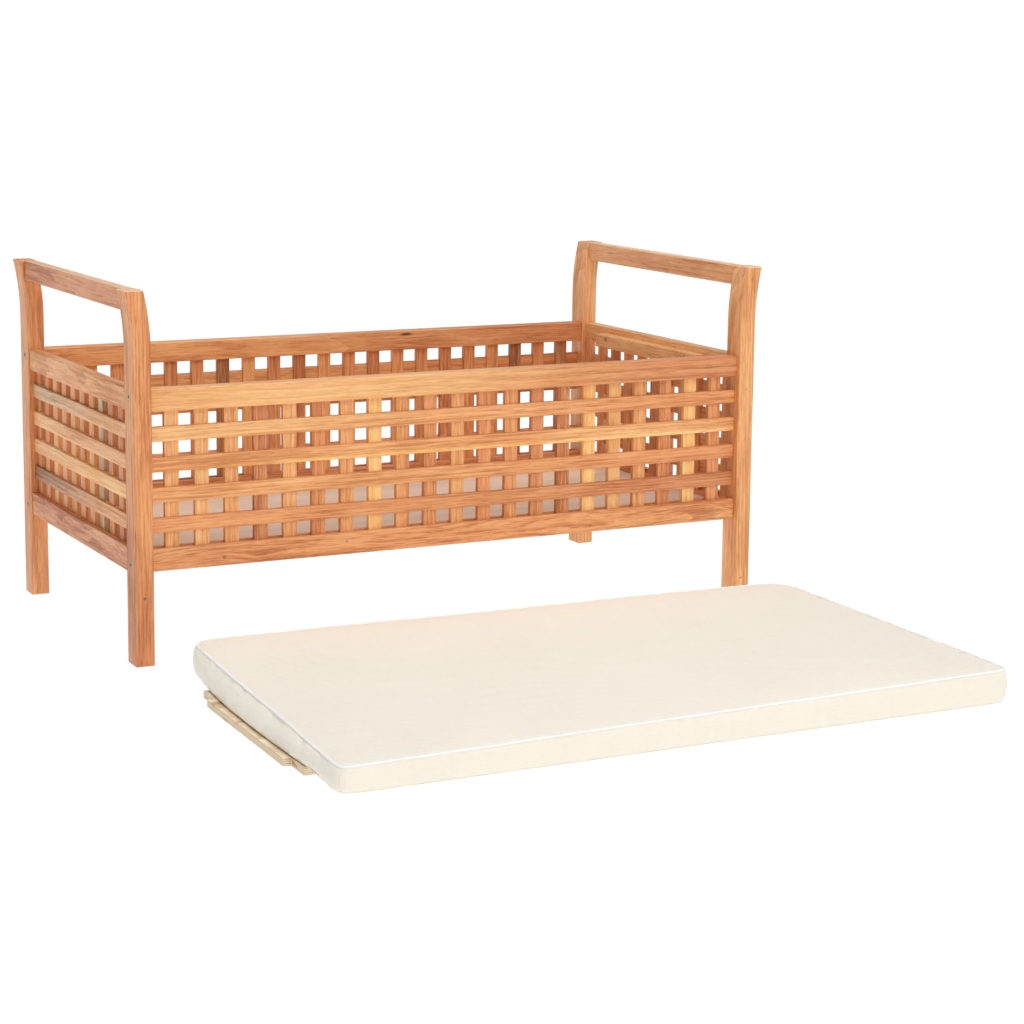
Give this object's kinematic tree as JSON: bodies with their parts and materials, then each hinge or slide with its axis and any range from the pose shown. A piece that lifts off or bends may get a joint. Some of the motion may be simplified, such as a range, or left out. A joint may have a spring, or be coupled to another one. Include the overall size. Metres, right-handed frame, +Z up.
{
  "type": "storage bench",
  "caption": "Slatted hardwood storage bench: open lattice box on flared legs with arm rails, and its loose cushioned seat lying on the floor in front.",
  "frame": {"origin": "middle of the bounding box of the bench and its loose seat, on the floor", "axes": "+Z up, +X to the right of a person facing the front, +Y from the loose seat to the back of the bench"},
  "size_m": [0.93, 1.0932, 0.477],
  "materials": {
    "leg_wood": "oiled hardwood, orange brown, satin, with eased edges",
    "rail_wood": "oiled hardwood, orange brown, satin",
    "slat_wood": "oiled hardwood slats, each of its own tone from pale yellow to brown",
    "inner_wood": "plain hardwood batten, darker, unfinished",
    "panel_board": "smooth sanded sheet board, pinkish beige",
    "plywood": "pale unfinished plywood with raw edges",
    "steel": "zinc plated, slightly dull",
    "cushion_fabric": "cream canvas, plain weave, with white piping",
    "foam": "open-cell foam core, hidden in the cover"
  },
  "bodies": {
    "bench": {"leg_front_left": "leg_wood", "leg_front_right": "leg_wood", "leg_back_left": "leg_wood", "leg_back_right": "leg_wood", "arm_rail_left": "rail_wood", "end_top_rail_left": "rail_wood", "end_bottom_rail_left": "rail_wood", "lattice_left": "slat_wood", "seat_batten_left": "inner_wood", "seat_batten_screw_left_1": "steel", "seat_batten_screw_left_2": "steel", "arm_rail_right": "rail_wood", "end_top_rail_right": "rail_wood", "end_bottom_rail_right": "rail_wood", "lattice_right": "slat_wood", "seat_batten_right": "inner_wood", "seat_batten_screw_right_1": "steel", "seat_batten_screw_right_2": "steel", "top_rail_front": "rail_wood", "bottom_rail_front": "rail_wood", "lattice_front": "slat_wood", "floor_batten_front": "inner_wood", "floor_batten_screw_front_1": "steel", "floor_batten_screw_front_2": "steel", "floor_batten_screw_front_3": "steel", "bolt_front_low_a": "steel", "barrel_nut_front_low_a": "steel", "bolt_front_low_b": "steel", "barrel_nut_front_low_b": "steel", "bolt_front_top_a": "steel", "barrel_nut_front_top_a": "steel", "bolt_front_top_b": "steel", "barrel_nut_front_top_b": "steel", "top_rail_back": "rail_wood", "bottom_rail_back": "rail_wood", "lattice_back": "slat_wood", "floor_batten_back": "inner_wood", "floor_batten_screw_back_1": "steel", "floor_batten_screw_back_2": "steel", "floor_batten_screw_back_3": "steel", "bolt_back_low_a": "steel", "barrel_nut_back_low_a": "steel", "bolt_back_low_b": "steel", "barrel_nut_back_low_b": "steel", "bolt_back_top_a": "steel", "barrel_nut_back_top_a": "steel", "bolt_back_top_b": "steel", "barrel_nut_back_top_b": "steel", "bottom_board": "panel_board"},
    "seat_board": {"seat_board": "plywood"},
    "cushion": {"cushion_cover": "cushion_fabric", "cushion_foam": "foam"}
  },
  "joints": [
    {"name": "seat_board_lift", "type": "slide", "parent": "bench", "child": "seat_board", "axis": [0, 0, 1], "range_m": [0, 0.35]},
    {"name": "cushion_lift", "type": "slide", "parent": "seat_board", "child": "cushion", "axis": [0, 0, 1], "range_m": [0, 0.2]}
  ]
}
